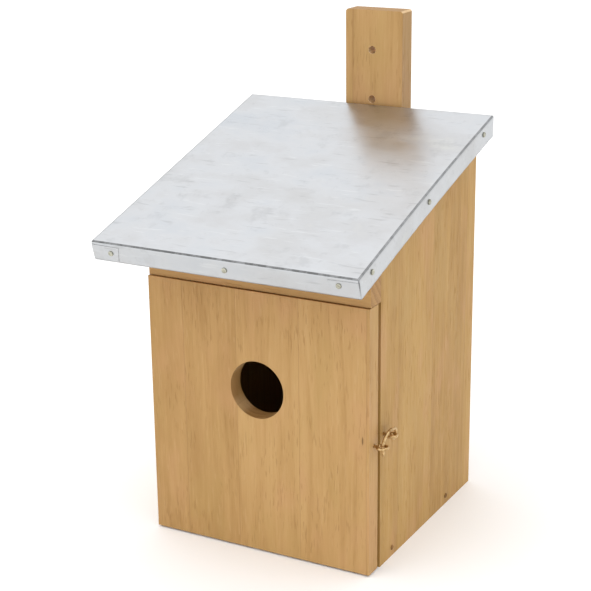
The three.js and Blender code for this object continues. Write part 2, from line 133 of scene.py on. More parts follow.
class Graph:
    """Builds one material's nodes."""

    def __init__(self, name):
        self.material = bpy.data.materials.new(name)
        self.material.use_nodes = True
        self.tree = self.material.node_tree
        self.shader = self.tree.nodes["Principled BSDF"]

    def put(self, socket, value):
        if isinstance(value, bpy.types.NodeSocket):
            self.tree.links.new(value, socket)
        else:
            socket.default_value = value

    def node(self, kind, *values, **settings):
        node = self.tree.nodes.new("ShaderNode" + kind)
        for key, value in settings.items():
            setattr(node, key, value)
        for socket, value in zip(node.inputs, values):
            if value is not None:
                self.put(socket, value)
        return node

    def math(self, operation, *values):
        return self.node("Math", *values, operation=operation).outputs[0]

    def vector(self, operation, *values):
        node = self.node("VectorMath", *values, operation=operation)
        return node.outputs["Value" if operation in ("LENGTH", "DOT_PRODUCT") else "Vector"]

    def split(self, vector):
        return self.node("SeparateXYZ", vector).outputs

    def join(self, x, y, z):
        return self.node("CombineXYZ", x, y, z).outputs[0]

    def noise(self, vector, scale, detail=3.0, roughness=0.55):
        node = self.node("TexNoise")
        self.put(node.inputs["Vector"], vector)
        node.inputs["Scale"].default_value = scale
        node.inputs["Detail"].default_value = detail
        node.inputs["Roughness"].default_value = roughness
        return node

    def rise(self, value, low, high, to_low=0.0, to_high=1.0):
        """A smooth step of value between low and high."""
        node = self.node("MapRange", interpolation_type="SMOOTHSTEP")
        for socket, given in zip(node.inputs, (value, low, high, to_low, to_high)):
            self.put(socket, given)
        return node.outputs[0]

    def blend(self, factor, first, second):
        node = self.node("Mix", data_type="RGBA")
        self.put(node.inputs["Factor"], factor)
        self.put(node.inputs[6], first)
        self.put(node.inputs[7], second)
        return node.outputs[2]

    def ramp(self, value, *stops):
        node = self.node("ValToRGB", value)
        elements = node.color_ramp.elements
        while len(elements) < len(stops):
            elements.new(0.5)
        for element, (position, colour) in zip(elements, stops):
            element.position = position
            element.color = colour
        return node.outputs[0]

    def bump(self, height, depth, strength=1.0):
        node = self.node("Bump")
        node.inputs["Strength"].default_value = strength
        node.inputs["Distance"].default_value = depth
        self.put(node.inputs["Height"], height)
        return node.outputs[0]

    def finish(self, **inputs):
        for name, value in inputs.items():
            self.put(self.shader.inputs[name.replace("_", " ")], value)
        return self.material


# ------------------------------------------------------------------ materials

RING_WIDTH = 4.2 * MM  # of one year's growth
GRAIN_ORDER = {"X": ("Y", "Z", "X"), "Y": ("X", "Z", "Y"), "Z": ("X", "Y", "Z")}


def staves(graph, coordinate, width, seed):
    """The number of the glued stave at a coordinate, and three random values for that stave."""
    number = graph.math("DIVIDE", coordinate, width)
    wobble = graph.noise(graph.join(0.0, 0.0, graph.math("MULTIPLY", number, 0.37)), 3.0, 0.0)
    number = graph.math("ADD", number, graph.math("MULTIPLY", wobble.outputs[0], 0.9))
    lot = graph.node("TexWhiteNoise", noise_dimensions="1D")
    graph.put(lot.inputs["W"], graph.math("ADD", graph.math("FLOOR", number), float(seed)))
    return number, graph.split(lot.outputs["Color"])


def glue_line(graph, number):
    """The thin line between two staves."""
    edge = graph.math("ABSOLUTE", graph.math("SUBTRACT", graph.math("FRACT", number), 0.5))
    return graph.rise(edge, 0.488, 0.497)


def late_wood(graph, place, pith):
    """The darker part of each year's ring."""
    from_pith = graph.vector("SUBTRACT", place, (pith[0], pith[1], 0.0))
    flat = graph.vector("MULTIPLY", from_pith, (1.0, 1.0, 0.0))
    ring = graph.math("FRACT", graph.math("DIVIDE", graph.vector("LENGTH", flat), RING_WIDTH))
    fading = graph.rise(ring, 0.88, 1.0, 1.0, 0.0)
    return graph.math("MULTIPLY", graph.rise(ring, 0.1, 0.86), fading)


def end_grain(graph, place, late):
    """The colour of a sawn end: rings and fine dots."""
    dots = graph.noise(graph.vector("MULTIPLY", place, (1.0, 1.0, 0.1)), 1400.0, 3.0).outputs[0]
    tone = graph.math("ADD", graph.math("MULTIPLY", late, 0.26), graph.math("MULTIPLY", dots, 0.66))
    return graph.ramp(tone, (0.2, srgb(176, 134, 80)), (0.85, srgb(128, 88, 44)))


def painted_light_bores(graph, colour, place, holes):
    """The walls of bores along Y, at the x and z of each hole, painted paler as painted light inside the
    holes.
    """
    for x, z in holes:
        offset = graph.vector("SUBTRACT", graph.vector("MULTIPLY", place, (1.0, 0.0, 1.0)), (x, 0.0, z))
        reach = graph.vector("LENGTH", offset)
        # painted light: the bore walls are made paler than the wood round them
        painted_light_wall = graph.rise(reach, 0.98 * POST_HOLE_RADIUS, 1.04 * POST_HOLE_RADIUS, 0.7, 0.0)
        colour = graph.blend(painted_light_wall, colour, srgb(244, 214, 170))
    return colour


def dark_pore(graph, colour, place, streaks, mark):
    """One dark pore with a faint halo."""
    offset = graph.vector("MULTIPLY", graph.vector("SUBTRACT", place, mark["at"]), mark["scale"])
    distance = graph.vector("LENGTH", offset)
    ragged = graph.math("ADD", distance, graph.math("MULTIPLY", streaks, 0.5))
    halo = graph.rise(distance, 1.0, 4.5, 0.22, 0.0)
    colour = graph.blend(halo, colour, srgb(158, 116, 70))
    return graph.blend(graph.rise(ragged, 0.7, 1.5, 0.75, 0.0), colour, srgb(96, 66, 30))


def wood(name, grain, seed, tones, face="X", stave=0.034, pith=(0.02, 0.07), mark=None, holes=(),
         x_face_darkening=0.0, wear_and_highlight=0.3):
    """Wood whose grain runs along one axis. Tones are light, middle and dark.

    face is the axis across which staves are glued; stave is their width. holes are the x and z
    of bores whose walls get painted light; x_face_darkening is how much darker the faces square to X are,
    wear_and_highlight how much paler the arrises are painted, for wear and a painted highlight.
    """
    graph = Graph(name)
    dice = random.Random(seed)
    coordinates = graph.node("TexCoord").outputs
    place = coordinates["Object"]
    axes = dict(zip("XYZ", graph.split(place)))
    across, through, along = (axes[a] for a in GRAIN_ORDER[grain])

    number, shift = staves(graph, graph.math("ADD", axes[face], dice.uniform(0.5, 1.0)), stave, seed)
    grained = graph.join(
        graph.math("ADD", across, graph.math("MULTIPLY", shift[0], 0.04)),
        graph.math("ADD", through, graph.math("MULTIPLY", shift[1], 0.02)),
        graph.math("ADD", along, graph.math("MULTIPLY", shift[2], 0.3)),
    )
    slow = graph.vector("MULTIPLY", grained, (1.0, 1.0, 0.16))
    drift = graph.noise(graph.vector("ADD", slow, (dice.uniform(0, 9),) * 3), 26.0, 2.0)
    drift = graph.vector("SUBTRACT", drift.outputs["Color"], (0.5, 0.5, 0.5))
    warped = graph.vector("ADD", grained, graph.vector("MULTIPLY", drift, (0.012, 0.012, 0.0)))

    def stretched(factor):
        return graph.vector("MULTIPLY", warped, (1.0, 1.0, factor))

    late = late_wood(graph, stretched(0.05), pith)
    streaks = graph.noise(stretched(0.05), 700.0, 4.0, 0.6).outputs[0]
    bands = graph.noise(stretched(0.08), 150.0, 2.0).outputs[0]
    clouds = graph.noise(stretched(0.4), 26.0, 3.0).outputs[0]
    flecks = graph.noise(stretched(0.1), 1150.0, 1.0).outputs[0]
    patches = graph.rise(graph.noise(stretched(0.4), 70.0, 1.0).outputs[0], 0.4, 0.6)
    pores = graph.math("MULTIPLY", graph.rise(flecks, 0.58, 0.72), graph.math("ADD", patches, 0.2))
    bright = graph.rise(graph.noise(stretched(0.09), 900.0, 1.0).outputs[0], 0.6, 0.72)

    tone = graph.math("MULTIPLY", late, 0.07)
    for value, weight in ((streaks, 0.3), (bands, 0.44), (clouds, 0.34), (shift[1], 0.24)):
        tone = graph.math("ADD", tone, graph.math("MULTIPLY", value, weight))
    tone = graph.rise(tone, 0.41, 0.97)
    light, mid, dark = tones
    colour = graph.ramp(tone, (0.0, light), (0.5, mid), (1.0, dark))
    hue = graph.noise(stretched(0.5), 40.0, 2.0).outputs[0]
    pink = graph.rise(hue, 0.5, 0.7, 0.0, 0.42)
    colour = graph.blend(pink, colour, srgb(190, 144, 100))
    olive = graph.rise(hue, 0.32, 0.48, 0.42, 0.0)
    colour = graph.blend(olive, colour, srgb(176, 142, 84))
    colour = graph.blend(graph.math("MULTIPLY", pores, 0.26), colour, srgb(136, 97, 54))
    colour = graph.blend(graph.math("MULTIPLY", bright, 0.2), colour, srgb(200, 164, 116))
    joint = glue_line(graph, number)
    colour = graph.blend(graph.math("MULTIPLY", joint, 0.3), colour, srgb(140, 100, 58))

    facing = dict(zip("XYZ", graph.split(coordinates["Normal"])))
    facing = {axis: graph.math("ABSOLUTE", value) for axis, value in facing.items()}
    cut_end = graph.rise(facing[grain], 0.72, 0.92)
    colour = graph.blend(graph.math("MULTIPLY", cut_end, 0.8), colour, end_grain(graph, warped, late))
    squareness = graph.math("MAXIMUM", facing["X"], graph.math("MAXIMUM", facing["Y"], facing["Z"]))
    # the arrises are painted paler: some wear, and a painted highlight where the rounded edges catch light
    arris_wear_and_highlight = graph.rise(squareness, 0.8, 0.94, wear_and_highlight, 0.0)
    colour = graph.blend(arris_wear_and_highlight, colour, srgb(224, 192, 148))
    if x_face_darkening:
        # the faces square to X are made darker by this amount
        shade = graph.rise(facing["X"], 0.8, 0.95, 0.0, x_face_darkening)
        colour = graph.blend(shade, colour, srgb(120, 92, 58))
    colour = painted_light_bores(graph, colour, place, holes)
    if mark:
        colour = dark_pore(graph, colour, place, streaks, mark)

    relief = graph.math("MULTIPLY", streaks, 0.5)
    for groove, weight in ((pores, 0.6), (joint, 0.25), (late, 0.12)):
        relief = graph.math("SUBTRACT", relief, graph.math("MULTIPLY", groove, weight))
    gloss = graph.rise(graph.math("ADD", streaks, pores), 0.3, 1.0, 0.52, 0.72)
    graph.shader.inputs["Specular IOR Level"].default_value = 0.32
    return graph.finish(Base_Color=colour, Roughness=gloss, Normal=graph.bump(relief, 0.0002, 0.7))


def zinc(name):
    """Brushed zinc sheet: soft blue-grey and warm clouds, fine scratches along X, painted shade on the
    flanges and a painted dark reflection line along the folds and corners.
    """
    graph = Graph(name)
    coordinates = graph.node("TexCoord").outputs
    place = coordinates["Object"]
    clouds = graph.noise(graph.vector("MULTIPLY", place, (0.7, 1.0, 1.0)), 34.0, 4.0, 0.6).outputs
    slow = graph.noise(graph.vector("ADD", place, (3.1, 1.7, 0.4)), 14.0, 2.0).outputs[0]
    lines = graph.noise(graph.vector("MULTIPLY", place, (0.05, 1.0, 1.0)), 1900.0, 3.0, 0.6).outputs[0]
    dashes = graph.noise(graph.vector("MULTIPLY", place, (0.12, 1.0, 1.0)), 480.0, 2.0).outputs[0]
    scratches = graph.rise(dashes, 0.62, 0.74)
    gleams = graph.rise(dashes, 0.38, 0.27)
    spots = graph.noise(graph.vector("ADD", place, (0.3, 5.2, 1.1)), 170.0, 3.0, 0.7).outputs[0]

    colour = graph.ramp(
        clouds[0],
        (0.3, srgb(192, 196, 201)), (0.48, srgb(200, 202, 205)),
        (0.62, srgb(196, 197, 199)), (0.75, srgb(204, 205, 204)),
    )
    stain = graph.rise(slow, 0.5, 0.75, 0.0, 0.3)
    colour = graph.blend(stain, colour, srgb(186, 185, 183))
    colour = graph.blend(graph.math("MULTIPLY", scratches, 0.4), colour, srgb(162, 164, 166))
    colour = graph.blend(graph.math("MULTIPLY", gleams, 0.5), colour, srgb(214, 216, 218))
    colour = graph.blend(graph.rise(spots, 0.58, 0.75, 0.0, 0.22), colour, srgb(160, 161, 162))
    facing = graph.vector("DOT_PRODUCT", coordinates["Normal"], tuple(ROOF_NORMAL))
    # painted reflection: a dark band along the folds, and along the rounded corners fading down the flange
    fold = graph.math("MULTIPLY", graph.rise(facing, 0.36, 0.56), graph.rise(facing, 0.97, 0.998, 1.0, 0.0))
    to_front = graph.vector("DOT_PRODUCT", coordinates["Normal"], tuple(ALONG_ROOF))
    to_side = graph.split(coordinates["Normal"])[0]
    turned = graph.math("MINIMUM", graph.math("ABSOLUTE", to_front), graph.math("ABSOLUTE", to_side))
    fold = graph.math("MULTIPLY", fold, graph.rise(graph.math("ABSOLUTE", to_side), 0.1, 0.5, 1.0, 0.72))
    below = graph.vector("SUBTRACT", tuple(FRONT_FOLD), place)
    below = graph.vector("DOT_PRODUCT", below, tuple(ROOF_NORMAL))
    fading = graph.rise(below, 0.2 * FLANGE, FLANGE, 0.9, 0.2)
    painted_corner_line = graph.math("MULTIPLY", graph.rise(turned, 0.25, 0.5), fading)
    fold = graph.math("MAXIMUM", fold, painted_corner_line)
    smudges = graph.noise(graph.vector("ADD", place, (1.3, 0.2, 2.4)), 55.0, 4.0, 0.65).outputs[0]
    colour = graph.blend(graph.rise(smudges, 0.56, 0.7, 0.0, 0.3), colour, srgb(166, 168, 170))
    # painted shade: the upright flanges are made darker than the top of the sheet
    painted_flange_shade = graph.rise(facing, 0.2, 0.36, 0.2, 0.0)
    colour = graph.blend(painted_flange_shade, colour, srgb(150, 151, 146))
    patchy = graph.rise(spots, 0.36, 0.6, 0.74, 1.0)
    colour = graph.blend(graph.math("MULTIPLY", fold, patchy), colour, srgb(100, 101, 101))

    dull = graph.rise(clouds[0], 0.3, 0.7, 0.25, 0.36)
    roughness = graph.math("ADD", dull, graph.math("MULTIPLY", lines, 0.06))
    relief = graph.math("ADD", graph.math("MULTIPLY", lines, 0.35), graph.math("MULTIPLY", scratches, -0.5))
    relief = graph.math("ADD", relief, graph.math("MULTIPLY", spots, 0.9))
    graph.shader.inputs["Metallic"].default_value = 1.0
    return graph.finish(Base_Color=colour, Roughness=roughness, Normal=graph.bump(relief, 0.00006, 0.7))


def metal(name, light, dark, roughness, scale=420.0):
    """Small plated metal parts: a tone that varies from point to point, with fine rubbed scratches."""
    graph = Graph(name)
    place = graph.node("TexCoord").outputs["Object"]
    clouds = graph.noise(place, scale, 3.0, 0.6).outputs[0]
    rubs = graph.noise(graph.vector("MULTIPLY", place, (1.0, 0.15, 1.0)), 5200.0, 2.0).outputs[0]
    tone = graph.math("ADD", graph.math("MULTIPLY", clouds, 0.7), graph.math("MULTIPLY", rubs, 0.3))
    colour = graph.ramp(tone, (0.34, light), (0.66, dark))
    gloss = graph.rise(tone, 0.3, 0.7, roughness, roughness + 0.2)
    relief = graph.math("ADD", clouds, graph.math("MULTIPLY", rubs, 0.5))
    graph.shader.inputs["Metallic"].default_value = 1.0
    return graph.finish(Base_Color=colour, Roughness=gloss, Normal=graph.bump(relief, 0.00005, 0.6))


# ------------------------------------------------------------------ mesh helpers


def piece(name, mesh, material, body, stands_for):
    """A finished mesh as an object that rides on a body and stands for CAD nodes."""
    data = bpy.data.meshes.new(name)
    bmesh.ops.recalc_face_normals(mesh, faces=mesh.faces)
    mesh.to_mesh(data)
    mesh.free()
    data.shade_smooth()
    data.materials.append(material)
    thing = bpy.data.objects.new(name, data)
    bpy.context.scene.collection.objects.link(thing)
    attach(thing, body)
    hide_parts(*stands_for)
    return thing


def soften(thing, width, angle=35, segments=2):
    """Rounds the sharp edges of an object and shades the rest flat."""
    bevel = thing.modifiers.new("rounded edges", "BEVEL")
    bevel.width = width
    bevel.segments = segments
    bevel.limit_method = "ANGLE"
    bevel.angle_limit = math.radians(angle)
    bevel.use_clamp_overlap = True
    shade = thing.modifiers.new("face shading", "WEIGHTED_NORMAL")
    shade.weight = 60
    return thing


def merge_group():
    """Geometry nodes that weld a mesh's loose triangles and shade it smooth."""
    group = bpy.data.node_groups.new("weld_and_smooth", "GeometryNodeTree")
    group.interface.new_socket("Geometry", in_out="INPUT", socket_type="NodeSocketGeometry")
    group.interface.new_socket("Geometry", in_out="OUTPUT", socket_type="NodeSocketGeometry")
    start = group.nodes.new("NodeGroupInput")
    weld = group.nodes.new("GeometryNodeMergeByDistance")
    weld.inputs["Distance"].default_value = 0.01 * MM
    bare = group.nodes.new("GeometryNodeRemoveAttribute")
    bare.inputs["Name"].default_value = "custom_normal"
    smooth = group.nodes.new("GeometryNodeSetShadeSmooth")
    end = group.nodes.new("NodeGroupOutput")
    chain = (start, weld, bare, smooth, end)
    for first, second in zip(chain, chain[1:]):
        group.links.new(first.outputs[0], second.inputs[0])
    return group


def ease(node, group, width=ARRIS):
    """Gives a CAD board rounded arrises by modifiers, leaving its mesh as it is."""
    weld = node.modifiers.new("weld", "NODES")
    weld.node_group = group
    flat = node.modifiers.new("flat faces", "DECIMATE")
    flat.decimate_type = "DISSOLVE"
    flat.angle_limit = math.radians(0.5)
    return soften(node, width, segments=3)


def dress(node, material):
    node.data.materials.clear()
    node.data.materials.append(material)


def tube(mesh, points, radii, sides=12):
    """Adds a round bar along points to the mesh, with a radius at each point."""
    rings = []
    direction = (points[1] - points[0]).normalized()
    side = direction.orthogonal().normalized()
    for i, point in enumerate(points):
        before = points[max(i - 1, 0)]
        after = points[min(i + 1, len(points) - 1)]
        direction = (after - before).normalized()
        side = (side - direction * side.dot(direction)).normalized()
        other = direction.cross(side)
        ring = []
        for k in range(sides):
            turn = 2 * math.pi * k / sides
            offset = side * math.cos(turn) + other * math.sin(turn)
            ring.append(mesh.verts.new(point + offset * radii[i]))
        rings.append(ring)
    for low, high in zip(rings, rings[1:]):
        for k in range(sides):
            n = (k + 1) % sides
            mesh.faces.new((low[k], low[n], high[n], high[k]))
    mesh.faces.new(rings[0])
    mesh.faces.new(rings[-1])
    return mesh


def rounded_ends(points, radius, steps=3):
    """Radii along points that close both ends with a small dome."""
    radii = [radius] * len(points)
    for k in range(steps):
        share = math.sqrt(1 - (1 - (k + 0.35) / steps) ** 2)
        radii[k] = radii[-1 - k] = radius * share
    return radii


def with_caps(points, radius, steps=3):
    """Adds close-set points just inside both ends, for rounded_ends."""
    first = (points[1] - points[0]).normalized()
    last = (points[-2] - points[-1]).normalized()
    spacing = radius / steps
    head = [points[0] + first * spacing * k for k in range(steps)]
    tail = [points[-1] + last * spacing * k for k in reversed(range(steps))]
    return head + points[1:-1] + tail


def lathe(mesh, profile, origin, axis, sides=24):
    """Adds a turned shape: profile gives (radius, distance along the axis)."""
    axis = axis.normalized()
    side = axis.orthogonal().normalized()
    other = axis.cross(side)
    rings = []
    for radius, along in profile:
        centre = origin + axis * along
        if radius < 1e-7:
            rings.append([mesh.verts.new(centre)])
            continue
        rings.append([
            mesh.verts.new(centre + (side * math.cos(t) + other * math.sin(t)) * radius)
            for t in (2 * math.pi * k / sides for k in range(sides))
        ])
    for low, high in zip(rings, rings[1:]):
        for k in range(sides):
            n = (k + 1) % sides
            if len(low) == 1:
                mesh.faces.new((low[0], high[n], high[k]))
            elif len(high) == 1:
                mesh.faces.new((low[k], low[n], high[0]))
            else:
                mesh.faces.new((low[k], low[n], high[n], high[k]))
    return mesh


def arc(centre, first, second, start, end, steps):
    """Points on a circle: first and second are its two radius vectors, angles in degrees."""
    turns = (math.radians(start + (end - start) * k / steps) for k in range(steps + 1))
    return [centre + first * math.cos(t) + second * math.sin(t) for t in turns]


# ------------------------------------------------------------------ roof sheet

sheet_low, sheet_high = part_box("roof_sheet")
HALF_ROOF = sheet_high.x
FRONT_FOLD = Vector((0, sheet_low.y, sheet_high.z - (sheet_high.y - sheet_low.y) * math.tan(ROOF_SLOPE)))
ROOF_LENGTH = (sheet_high.y - sheet_low.y) / math.cos(ROOF_SLOPE)
ROOF_STEPS_X = 110
ROOF_STEPS_S = 124
FOLD_STEPS = 5
FLANGE_STEPS = 12
RIPPLE_DEPTH = 0.12 * MM  # of the flange's waves, at its lower edge
DIMPLE_DEPTH = 0.4 * MM  # of the dents round the nails
DIMPLE_REACH = 2.4 * MM


def on_roof(x, s, drop=0.0):
    """A point s up the slope from the front fold and drop below the sheet's top.

    The front edge stands square to the roof and the back edge stands upright.
    """
    share = s / ROOF_LENGTH
    down = (-ROOF_NORMAL) * (1 - share) + Vector((0, 0, -1 / math.cos(ROOF_SLOPE))) * share
    across = min(max((x / HALF_ROOF + 1) / 2, 0.0), 1.0)
    rise = CROWN * math.sin(math.pi * min(max(share, 0.0), 1.0)) * across ** 1.5
    return FRONT_FOLD + X * x + ALONG_ROOF * s + down * drop + ROOF_NORMAL * rise


def rounded_rectangle(inset, steps_x, steps_s):
    """Points (x, s) round the roof in plan, at a distance in from its edges."""
    radius = max(CORNER_RADIUS - inset, 0.05 * MM)
    half = HALF_ROOF - inset
    low, high = inset, ROOF_LENGTH - inset
    centres = (
        (-half + radius, low + radius, 180), (half - radius, low + radius, 270),
        (half - radius, high - radius, 0), (-half + radius, high - radius, 90),
    )
    corner_steps = 5
    points = []
    for i, (cx, cs, start) in enumerate(centres):
        for k in range(corner_steps + 1):
            t = math.radians(start + 90 * k / corner_steps)
            points.append((cx + radius * math.cos(t), cs + radius * math.sin(t)))
        nx, ns, next_start = centres[(i + 1) % 4]
        t = math.radians(next_start)
        target = (nx + radius * math.cos(t), ns + radius * math.sin(t))
        steps = steps_x if i % 2 == 0 else steps_s
        x, s = points[-1]
        for k in range(1, steps):
            share = k / steps
            points.append((x + (target[0] - x) * share, s + (target[1] - s) * share))
    return points


def sheet_profile():
    """Pairs (inset, drop) from the middle of the sheet over its fold to the edge of the flange."""
    profile = [(inset * MM, 0.0) for inset in (60, 45, 32, 22, 15, 10, 7, 5, 3.4, 2.2)]
    for k in range(FOLD_STEPS + 1):
        t = math.pi / 2 * k / FOLD_STEPS
        profile.append((FOLD_RADIUS * (1 - math.sin(t)), FOLD_RADIUS * (1 - math.cos(t))))
    for k in range(1, FLANGE_STEPS + 1):
        profile.append((0.0, FOLD_RADIUS + (FLANGE - FOLD_RADIUS) * k / FLANGE_STEPS))
    return profile


def pressed_in(point, x, s, drop, waves, nails):
    """A point of the flange, moved inward by ripples and by the dimples at the nails."""
    if abs(x) > HALF_ROOF - 2 * MM:
        inward = Vector((-x / HALF_ROOF, 0, 0))
    else:
        inward = -Y if s > ROOF_LENGTH / 2 else Y
    along = x if abs(inward.y) > 0.5 else s
    ripple = sum(a * math.sin(f * along / 0.05 + p) for f, p, a in waves) / len(waves)
    depth = RIPPLE_DEPTH * (1 + ripple) * drop / FLANGE
    for place in nails:
        gap = (point - place).length
        if gap < 3 * DIMPLE_REACH:
            depth += DIMPLE_DEPTH * math.exp(-(gap / DIMPLE_REACH) ** 2)
    return point + inward * depth


def roof_sheet(material):
    """One folded tray of zinc, slightly bowed, dimpled at its nails and wavy along its edges."""
    mesh = bmesh.new()
    dice = random.Random(11)
    waves = [(dice.uniform(14, 60), dice.uniform(0, 6.3), dice.uniform(0.3, 1.0)) for _ in range(5)]
    nails = [middle(node) for node in nodes if node.startswith("roof_nail")]

    rings = []
    for inset, drop in sheet_profile():
        ring = []
        for x, s in rounded_rectangle(inset, ROOF_STEPS_X, ROOF_STEPS_S):
            point = on_roof(x, s, drop)
            if drop > 0:
                point = pressed_in(point, x, s, drop, waves, nails)
            ring.append(mesh.verts.new(point))
        rings.append(ring)
    for low, high in zip(rings, rings[1:]):
        for k in range(len(low)):
            n = (k + 1) % len(low)
            mesh.faces.new((low[k], low[n], high[n], high[k]))
    mesh.faces.new(rings[0])

    sheet = piece("zinc_roof_sheet", mesh, material, "house", ["roof_sheet"])
    thick = sheet.modifiers.new("sheet thickness", "SOLIDIFY")
    thick.thickness = SHEET
    thick.offset = -1
    thick.use_even_offset = True
    return sheet


def corner_lap(side, material):
    """The tab that runs round a front corner and lies on the front flange, its end cut at an angle."""
    mesh = bmesh.new()
    outer = side * (HALF_ROOF - 0.35 * MM)
    inner = side * (HALF_ROOF - LAP_LENGTH)
    top, bottom = 1.75 * MM, FLANGE - 0.45 * MM
    slant = 1.6 * MM
    corners = ((outer, top), (inner, top + 0.4 * MM), (inner + side * slant, bottom), (outer, bottom))
    steps = 10
    front, back = [], []
    for k in range(steps + 1):
        share = k / steps
        for drops, level in ((front, LAP_THICKNESS), (back, -0.1 * MM)):
            row = []
            for j in range(steps + 1):
                down = j / steps
                upper = [corners[0][i] + (corners[1][i] - corners[0][i]) * share for i in (0, 1)]
                lower = [corners[3][i] + (corners[2][i] - corners[3][i]) * share for i in (0, 1)]
                x = upper[0] + (lower[0] - upper[0]) * down
                drop = upper[1] + (lower[1] - upper[1]) * down
                lift = level * (1 - 0.35 * share * (level > 0))
                row.append(mesh.verts.new(on_roof(x, 0.0, drop) - ALONG_ROOF * lift))
            drops.append(row)
    for grid in (front, back):
        for k in range(steps):
            for j in range(steps):
                mesh.faces.new((grid[k][j], grid[k][j + 1], grid[k + 1][j + 1], grid[k + 1][j]))
    for k in range(steps):
        mesh.faces.new((front[k][0], front[k + 1][0], back[k + 1][0], back[k][0]))
        mesh.faces.new((front[k][-1], front[k + 1][-1], back[k + 1][-1], back[k][-1]))
        mesh.faces.new((front[0][k], front[0][k + 1], back[0][k + 1], back[0][k]))
        mesh.faces.new((front[-1][k], front[-1][k + 1], back[-1][k + 1], back[-1][k]))
    name = "zinc_corner_lap_" + ("right" if side > 0 else "left")
    lap = piece(name, mesh, material, "house", ["roof_sheet"])
    return soften(lap, 0.12 * MM)


# ------------------------------------------------------------------ fasteners


def crown(node, out):
    """The outermost point of a node along a direction."""
    return max((v.co for v in nodes[node].data.vertices), key=lambda co: co.dot(out))


def head_of(node, out):
    """The point on a fastener's axis at its outermost end."""
    low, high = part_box(node)
    centre = (low + high) / 2
    corner = Vector([high[i] if out[i] > 0 else low[i] for i in range(3)])
    return centre + out * (corner - centre).dot(out)


def nail(node, out, material, slot, head, cap, shank, length, lift=0.0):
    """A nail with a slightly dished, round-edged head and a pointed shank."""
    mesh = bmesh.new()
    origin = crown(node, out) - out * (cap - lift)
    profile = [
        (0.0, -length), (shank * 0.9, -length + 2.2 * shank), (shank, -length + 2.6 * shank),
        (shank, -0.3 * cap), (head * 0.96, 0.0), (head, cap * 0.22), (head * 0.97, cap * 0.55),
        (head * 0.86, cap * 0.9), (head * 0.74, cap), (head * 0.56, cap * 0.8), (head * 0.3, cap * 0.62),
        (0.0, cap * 0.58),
    ]
    lathe(mesh, profile, origin, out)
    return piece(node + "_turned", mesh, material, frame_body(node), [node])


def frame_body(node):
    return nodes[node]["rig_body"]


def countersunk_screw(node, out, material, slot, head, cone, shank, length, sides=32, proud=0.0):
    """A countersunk screw: flat head with a cross recess, a cone and a ridged thread.

    proud is how far the head stands above the surface that it is driven into.
    """
    mesh = bmesh.new()
    tip = head_of(node, out) + out * proud
    ridges = []
    pitch = 1.1 * shank
    start = -cone - 1.2 * shank
    count = int((length + start - 2 * shank) / pitch)
    for k in range(count):
        z = start - k * pitch
        ridges += [(shank * 0.78, z), (shank, z - pitch * 0.4), (shank * 0.78, z - pitch * 0.8)]
    rim = [(head * 0.95, 0.0), (head, -0.06 * head), (shank, -cone)]
    profile = rim + ridges + [(shank * 0.7, -length + 1.6 * shank), (0.0, -length)]
    lathe(mesh, list(reversed(profile)), tip, out, sides)
    mesh.verts.ensure_lookup_table()
    cross_recess(mesh, mesh.verts[-sides:], tip, out, head, cone)
    screw = piece(node + "_turned", mesh, material, frame_body(node), [node])
    screw.data.shade_flat()
    return soften(screw, 0.03 * head, angle=40)


def cross_recess(mesh, rim, tip, out, head, cone):
    """Closes a screw's head inside its rim, with the tapered cross that a driver fits."""
    side = Matrix.Rotation(math.radians(23), 3, out) @ out.orthogonal().normalized()
    rings = []
    for depth, long, narrow in ((0.0, 0.62, 0.13), (0.6, 0.2, 0.08)):
        ring = []
        for quarter in range(4):
            along = Matrix.Rotation(math.radians(90 * quarter), 3, out) @ side
            across = out.cross(along)
            for a, b in ((long, -narrow), (long, narrow), (narrow, narrow)):
                ring.append(mesh.verts.new(tip - out * depth * cone + (along * a + across * b) * head))
        rings.append(ring)
    mouth, floor = rings
    centre = mesh.verts.new(tip - out * 0.6 * cone)
    count = len(mouth)
    for k in range(count):
        n = (k + 1) % count
        mesh.faces.new((mouth[k], mouth[n], floor[n], floor[k]))
        mesh.faces.new((floor[k], floor[n], centre))
    edges = [
        mesh.edges.get((loop[k], loop[(k + 1) % len(loop)]))
        for loop in (list(rim), mouth) for k in range(len(loop))
    ]
    bmesh.ops.triangle_fill(mesh, use_beauty=True, edges=edges, normal=out)


# ------------------------------------------------------------------ hook and eyes


def screw_eye(node, material):
    """A screw eye bent from one wire: a threaded shank and a ring left open beside it."""
    low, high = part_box(node)
    y = (low.y + high.y) / 2
    z = (low.z + high.z) / 2
    centre = Vector((high.x - EYE_RADIUS - WIRE, y, z))
    shank_end = Vector((low.x, y, z))
    joint = centre - X * (EYE_RADIUS + 0.8 * MM)
    ring = arc(centre, X * EYE_RADIUS, Y * EYE_RADIUS, 180 + 20, 180 + 342, 30)
    neck = [joint, joint.lerp(ring[0], 0.45) + Vector((0.15 * MM, 0.25 * MM, 0))]
    thread_steps = 26
    shank, radii = [], []
    for k in range(thread_steps):
        shank.append(shank_end.lerp(joint, k / thread_steps))
        radii.append(WIRE * (0.35 if k == 0 else (0.96 if k % 2 else 0.74)))
    points = shank + neck + ring
    radii += [WIRE] * (len(neck) + len(ring))
    radii[-1] = WIRE * 0.72
    mesh = tube(bmesh.new(), points, radii, 14)
    return piece(node + "_bent_wire", mesh, material, frame_body(node), [node])


def bezier(start, control, end, steps):
    """Points on a quadratic curve, without its first one."""
    shares = ((k + 1) / steps for k in range(steps))
    return [start.lerp(control, t).lerp(control.lerp(end, t), t) for t in shares]


